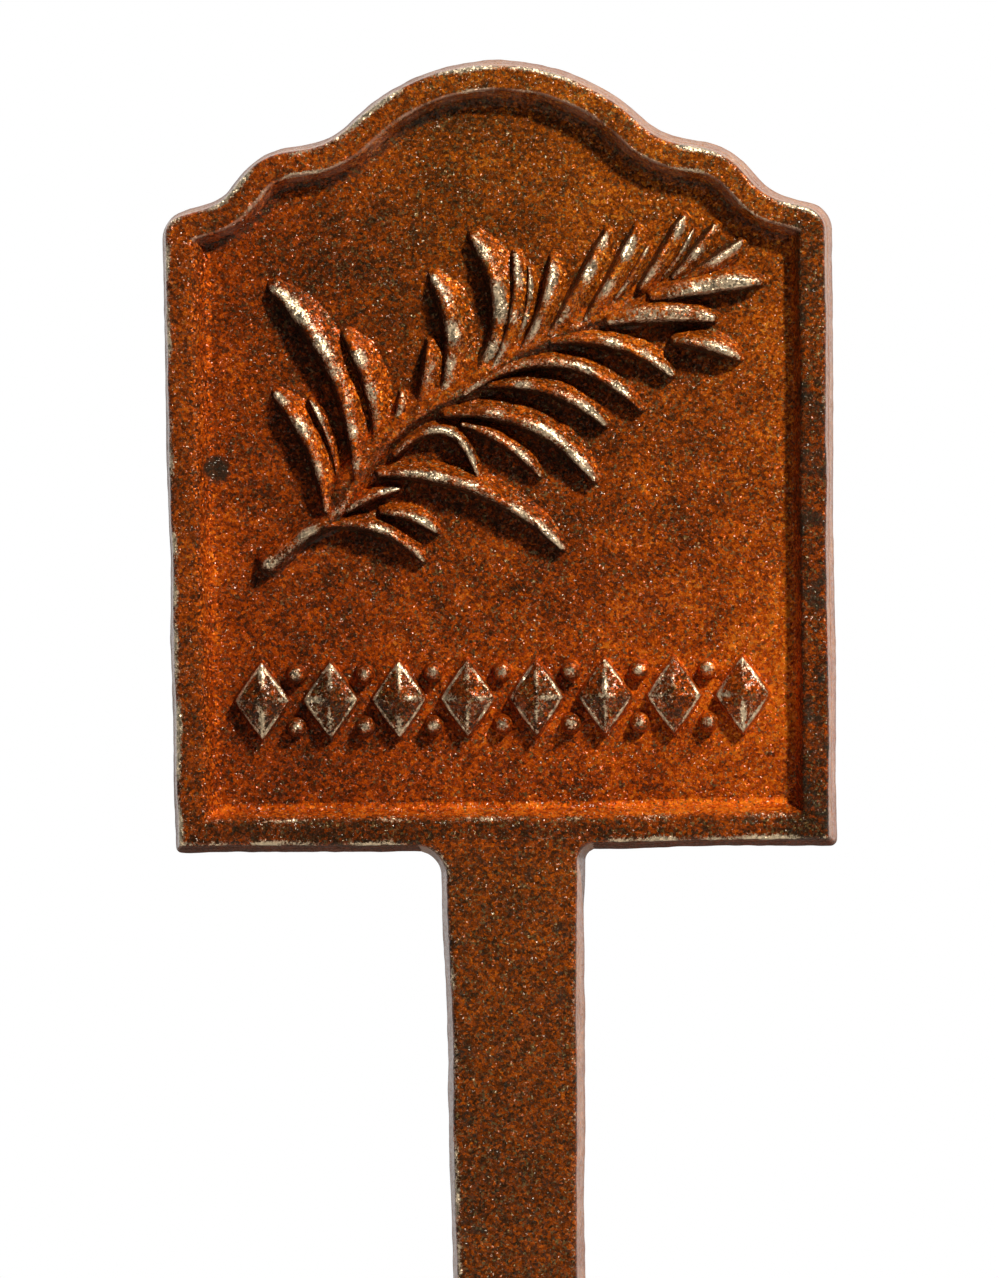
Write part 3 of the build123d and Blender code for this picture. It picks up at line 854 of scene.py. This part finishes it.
def build_sprig():
    """A closed mesh for each ridge, its top the smooth union of all of them."""
    ridges = make_ridges()
    for own, ridge in enumerate(ridges):
        spine = ridge.spine
        tangent = np.gradient(spine, axis=0)
        tangent /= np.linalg.norm(tangent, axis=1)[:, None]
        length = np.linalg.norm(np.diff(spine, axis=0), axis=1).sum()
        cap = ridge.half[-1] * PLAN_REACH
        tail = ridge.half[0] * PLAN_REACH
        along = np.linspace(0, 1, len(spine)) * length
        stations = np.concatenate([
            np.linspace(-tail, -0.05, 6), np.linspace(0, length, max(int(length / 0.22), 14)),
            np.linspace(length + 0.1, length + cap, 8),
        ])
        inside = np.clip(stations, 0, length)
        base = np.stack([np.interp(inside, along, spine[:, k]) for k in (0, 1)], axis=1)
        heading = np.stack([np.interp(inside, along, tangent[:, k]) for k in (0, 1)], axis=1)
        heading /= np.linalg.norm(heading, axis=1)[:, None]
        base = base + heading * (stations - inside)[:, None]
        sideways = np.stack([-heading[:, 1], heading[:, 0]], axis=1)
        half = np.interp(inside, along, ridge.half) * PLAN_REACH
        if ridge.body:
            half = np.maximum(half, BODY_SHIFT + BODY_HALF)
        across = np.linspace(-1, 1, 49 if ridge.body else 33)
        across = np.sign(across) * np.abs(across) ** 1.25
        plan = base[:, None, :] + sideways[:, None, :] * (half[:, None] * across)[..., None]
        rows, columns = plan.shape[:2]
        flat = plan.reshape(-1, 2)
        union, heights = relief_height(flat, ridges)
        mine = heights[own]
        others = np.delete(heights, own, axis=0).max(axis=0)
        crest, lit, far = ridge.at(flat)[1:]
        rough = np.clip(union / 0.8, 0, 1)
        lumps = 0.07 * ripple(flat, 1.6, 31) + 0.035 * ripple(flat, 0.7, 32)
        tall = union + lumps * rough
        buried = others - mine
        sunk = np.clip(buried / 0.12, 0, 1) * 0.10 + np.clip(buried / 0.6, 0, 1) * 0.4
        tall = tall - sunk
        tall = np.where(mine <= 0.012, -0.12, tall)
        y = FIELD_Y - tall - face_wave(flat[:, 0], flat[:, 1])
        y = np.maximum(y, RELIEF_FRONT_Y)
        top = to_frame(flat[:, 0], flat[:, 1], y)
        bottom = to_frame(flat[:, 0], flat[:, 1], np.full(len(flat), FIELD_Y + 0.4))
        dark_side = np.clip(1.3 - 3.2 * np.abs(crest - 0.12), 0, 1) * (0.40 + 0.25 * far)
        lit_side = np.clip(1.25 - (3.4 - 1.4 * far) * crest, 0, 1) * (0.42 + 0.5 * far)
        if own in FLAT_LEAVES:
            dark_side = np.clip(1.4 - 1.8 * crest, 0, 0.75)
        elif own in CLOSE_LEAVES:
            dark_side = np.clip(1.2 - 3.0 * crest, 0, 0.50)
        broken = 0.85 + 0.4 * ripple(flat, 2.0, 42)
        wear = np.where(lit < 0, dark_side, lit_side) * np.clip(mine, 0, 1) * broken
        if ridge.name == "sprig_stem":
            wear = wear * np.clip(2.8 - 10.0 * far, 0.3, 2.2)
        # Painted light and shade on each ridge: flanks toward the light side are painted brighter orange,
        # the far flanks darker and duller near the crest.
        shade = np.clip(-3 * lit, 0, 1) * np.clip(3 * crest, 0, 1)
        glow = np.where(lit > 0, 0.6, -2.2 * shade)
        dull_scale_and_painted_shade = 0.35 * shade * np.clip(mine / 0.2, 0, 1)
        numbers = np.arange(rows * columns).reshape(rows, columns)
        faces = []
        for first, second in zip(numbers, numbers[1:]):
            faces += strip_faces(second, first, closed=False)
        low = [[n + rows * columns for n in face[::-1]] for face in faces]
        edge = np.concatenate([numbers[0], numbers[1:, -1], numbers[-1, -2::-1], numbers[-2:0:-1, 0]])
        side = strip_faces(edge, edge + rows * columns)
        points = np.concatenate([top, bottom])
        surface = {"wear": wear, "glow": glow, "dull_scale_and_painted_shade": dull_scale_and_painted_shade}
        surface = {key: np.concatenate([values, values * 0]) for key, values in surface.items()}
        add_piece(f"cast_{ridge.name}", points, faces + low + side, [ridge.name], **surface)


# Band: faceted lozenges and domed beads
BAND_MIDDLE = 15.969
LOZENGES = 8
LOZENGE_PITCH = 7.170
LOZENGE_HALF_WIDE = 2.95
LOZENGE_HALF_TALL = 4.2
LOZENGE_POWER = 1.07


def mound(rings, wear_rings):
    """Points, faces and wear of a mound from rings of plan points and heights, outermost first."""
    points = []
    wear = []
    for (flat, tall), worn_edge in zip(rings, wear_rings):
        lumps = 0.05 * ripple(flat, 1.6, 31) + 0.03 * ripple(flat, 0.7, 32)
        y = FIELD_Y - tall - face_wave(flat[:, 0], flat[:, 1]) - lumps * np.clip(tall / 0.6, 0, 1)
        points.append(to_frame(flat[:, 0], flat[:, 1], np.maximum(y, RELIEF_FRONT_Y)))
        wear.append(worn_edge + np.zeros(len(flat)))
    faces = skin_faces(len(rings), len(rings[0][0]))
    return np.concatenate(points), faces, np.concatenate(wear)


def diamond_ring(middle, share, steps=24):
    """A lozenge's outline at a share of its size, and how near each point is to a ridge."""
    angle = np.linspace(0, 2 * np.pi, 4 * steps, endpoint=False)
    reach = np.abs(np.cos(angle)) ** LOZENGE_POWER + np.abs(np.sin(angle)) ** LOZENGE_POWER
    reach = reach ** (-1 / LOZENGE_POWER)
    x = np.cos(angle) * reach
    z = np.sin(angle) * reach
    plan = np.stack([x * LOZENGE_HALF_WIDE, z * LOZENGE_HALF_TALL], axis=1) * share
    ridge = np.minimum(np.abs(plan[:, 0]), np.abs(plan[:, 1]))
    return np.asarray(middle) + plan, np.clip(1 - ridge / 0.45, 0, 1)


LOZENGE_RINGS = [
    (1.08, -0.5, 0.0), (1.08, -0.15, 0.0), (1.05, 0.02, 0.0), (1.02, 0.12, 0.0), (0.99, 0.45, 0.0),
    (0.965, 0.85, 0.0), (0.94, 1.12, 0.45), (0.91, 1.26, 0.85), (0.87, 1.33, 0.75), (0.80, 1.42, 0.2),
    (0.70, 1.53, 0.0), (0.58, 1.66, 0.0), (0.46, 1.79, 0.0), (0.34, 1.92, 0.05), (0.23, 2.03, 0.1),
    (0.14, 2.10, 0.3), (0.06, 2.14, 0.5), (0.015, 2.15, 0.5),
]
BEAD_SHARES = (1.25, 1.2, 1.12, 1.03, 0.95, 0.86, 0.75, 0.62, 0.47, 0.3, 0.12)
BEAD_STEPS = 32
BEAD_OFF_MIDDLE = 2.75


def build_band():
    """A row of lozenges with pairs of beads between them."""
    for number in range(LOZENGES):
        middle = ((number - (LOZENGES - 1) / 2) * LOZENGE_PITCH, BAND_MIDDLE)
        rings = []
        worn_rings = []
        for share, tall, worn_edge in LOZENGE_RINGS:
            flat, ridge = diamond_ring(middle, share)
            rings.append((flat, np.full(len(flat), tall)))
            facet = (0.18 + 0.45 * ridge) * (0.05 < share < 0.9)
            worn_rings.append(np.maximum(worn_edge, facet) * (0.9 + 0.4 * ripple(flat, 2.0, 43)))
        points, faces, wear = mound(rings, worn_rings)
        glow = -1.3 * np.clip((FIELD_Y - 0.9 - points[:, 1]) / 0.4, 0, 1)
        name = f"lozenge_{number + 1}"
        add_piece(f"cast_{name}", points, faces, [name], wear=wear, glow=glow)

    all_points = []
    all_faces = []
    all_wear = []
    offset = 0
    angle = np.linspace(0, 2 * np.pi, BEAD_STEPS, endpoint=False)
    ray = np.stack([np.cos(angle), np.sin(angle)], axis=1)
    for gap in range(LOZENGES - 1):
        for side in (-1, 1):
            across = (gap - (LOZENGES - 2) / 2) * LOZENGE_PITCH
            middle = np.array([across, BAND_MIDDLE + side * BEAD_OFF_MIDDLE])
            rings = [(middle + ray * BEAD_SHARES[0], np.full(BEAD_STEPS, -0.5))]
            worn_rings = [0.0]
            for share in BEAD_SHARES:
                step = np.clip((1.18 - share) / 0.40, 0, 1)
                tall = 0.7 * step * step * (3 - 2 * step) + 0.85 * math.sqrt(max(1 - share ** 2, 0))
                tall = tall if share < 1.19 else -0.15
                rings.append((middle + ray * share, np.full(BEAD_STEPS, tall)))
                worn_rings.append(np.clip(0.9 - share, 0.0, 0.8))
            points, faces, wear = mound(rings, worn_rings)
            all_points.append(points)
            all_faces += [[n + offset for n in face] for face in faces]
            all_wear.append(wear)
            offset += len(points)
    add_piece("cast_beads", np.concatenate(all_points), all_faces, ["beads"], wear=np.concatenate(all_wear))


build_panel()
build_rim()
build_stake()
build_sprig()
build_band()

# Floor under the stake's point
FLOOR_HALF = 0.45
FLOOR_GAP = 0.0005
floor_level = cad_box[0][2] - FLOOR_GAP
corners = [(-1, -1), (1, -1), (1, 1), (-1, 1)]
corners = [(x * FLOOR_HALF, y * FLOOR_HALF, floor_level) for x, y in corners]
floor_mesh = bpy.data.meshes.new("floor")
floor_mesh.from_pydata(corners, [], [(0, 1, 2, 3)])
floor = bpy.data.objects.new("floor", floor_mesh)
bpy.context.collection.objects.link(floor)
floor_paint = bpy.data.materials.new("floor_paint")
floor_paint.use_nodes = True
tree = floor_paint.node_tree
tree.nodes.clear()
path = add("ShaderNodeLightPath").outputs
mirrored = maths("MAXIMUM", path["Is Glossy Ray"], path["Is Transmission Ray"])
seen = maths("MAXIMUM", path["Is Camera Ray"], mirrored)
floor_colour = mix(seen, (0.25, 0.25, 0.25), (0.86, 0.86, 0.86))
floor_shader = add("ShaderNodeBsdfPrincipled", {"Base Color": floor_colour, "Roughness": 0.9})
add("ShaderNodeOutputMaterial", {"Surface": floor_shader.outputs[0]})
floor_mesh.materials.append(floor_paint)

# World: white to look at and in reflections from behind and beside, dim in front
AMBIENT = 0.05
world = bpy.data.worlds.new("studio")
bpy.context.scene.world = world
world.use_nodes = True
tree = world.node_tree
tree.nodes.clear()
path = add("ShaderNodeLightPath").outputs
toward = add("ShaderNodeSeparateXYZ", {0: add("ShaderNodeTexCoord").outputs["Generated"]}).outputs
mirrored = maths("MULTIPLY", spread(toward["Y"], -0.35, 0.35), spread(toward["Z"], -0.28, 0.0))
mirrored = maths("SUBTRACT", multiply_add(mirrored, 0.96, 0.04), AMBIENT)
strength = multiply_add(path["Is Glossy Ray"], mirrored, AMBIENT)
strength = multiply_add(path["Is Transmission Ray"], 1 - AMBIENT, strength)
strength = multiply_add(path["Is Camera Ray"], 1 - AMBIENT, strength)
sky = add("ShaderNodeBackground", {"Color": (1.0, 1.0, 1.0, 1.0), "Strength": strength})
add("ShaderNodeOutputWorld", {"Surface": sky.outputs[0]})

# Key lamp, from the upper right in front
KEY_POWER = 14.8
KEY_COLOUR = (1.0, 0.91, 0.76)
KEY_SIZE = 0.08
key_aim = Vector((0.0, 0.0, 0.110))
key_from = Vector((0.92, -1.0, 1.27)).normalized()
key_data = bpy.data.lights.new("key", "AREA")
key_data.shape = "DISK"
key_data.size = KEY_SIZE
key_data.energy = KEY_POWER
key_data.color = KEY_COLOUR
key = bpy.data.objects.new("key", key_data)
key.location = key_aim + key_from
key.rotation_euler = (-key_from).to_track_quat("-Z", "Y").to_euler()
bpy.context.collection.objects.link(key)

# Camera, straight in front and a little to the right, with a long lens
CAMERA_YAW = math.radians(2.0)
CAMERA_ROLL = math.radians(-0.8)
CAMERA_FAR = 1.2
SENSOR = 36.0
VIEW_TALL = 0.1335
target = Vector((-0.00105, 0.0, 0.1021))
camera_data = bpy.data.cameras.new("camera")
camera_data.sensor_width = SENSOR
camera_data.lens = SENSOR * CAMERA_FAR / VIEW_TALL
camera = bpy.data.objects.new("camera", camera_data)
camera.location = target + Vector((math.sin(CAMERA_YAW), -math.cos(CAMERA_YAW), 0.0)) * CAMERA_FAR
aim = (target - camera.location).to_track_quat("-Z", "Y").to_matrix()
camera.rotation_euler = (aim @ Matrix.Rotation(CAMERA_ROLL, 3, "Z")).to_euler()
bpy.context.collection.objects.link(camera)
bpy.context.scene.camera = camera
bpy.context.scene.view_settings.view_transform = "Standard"
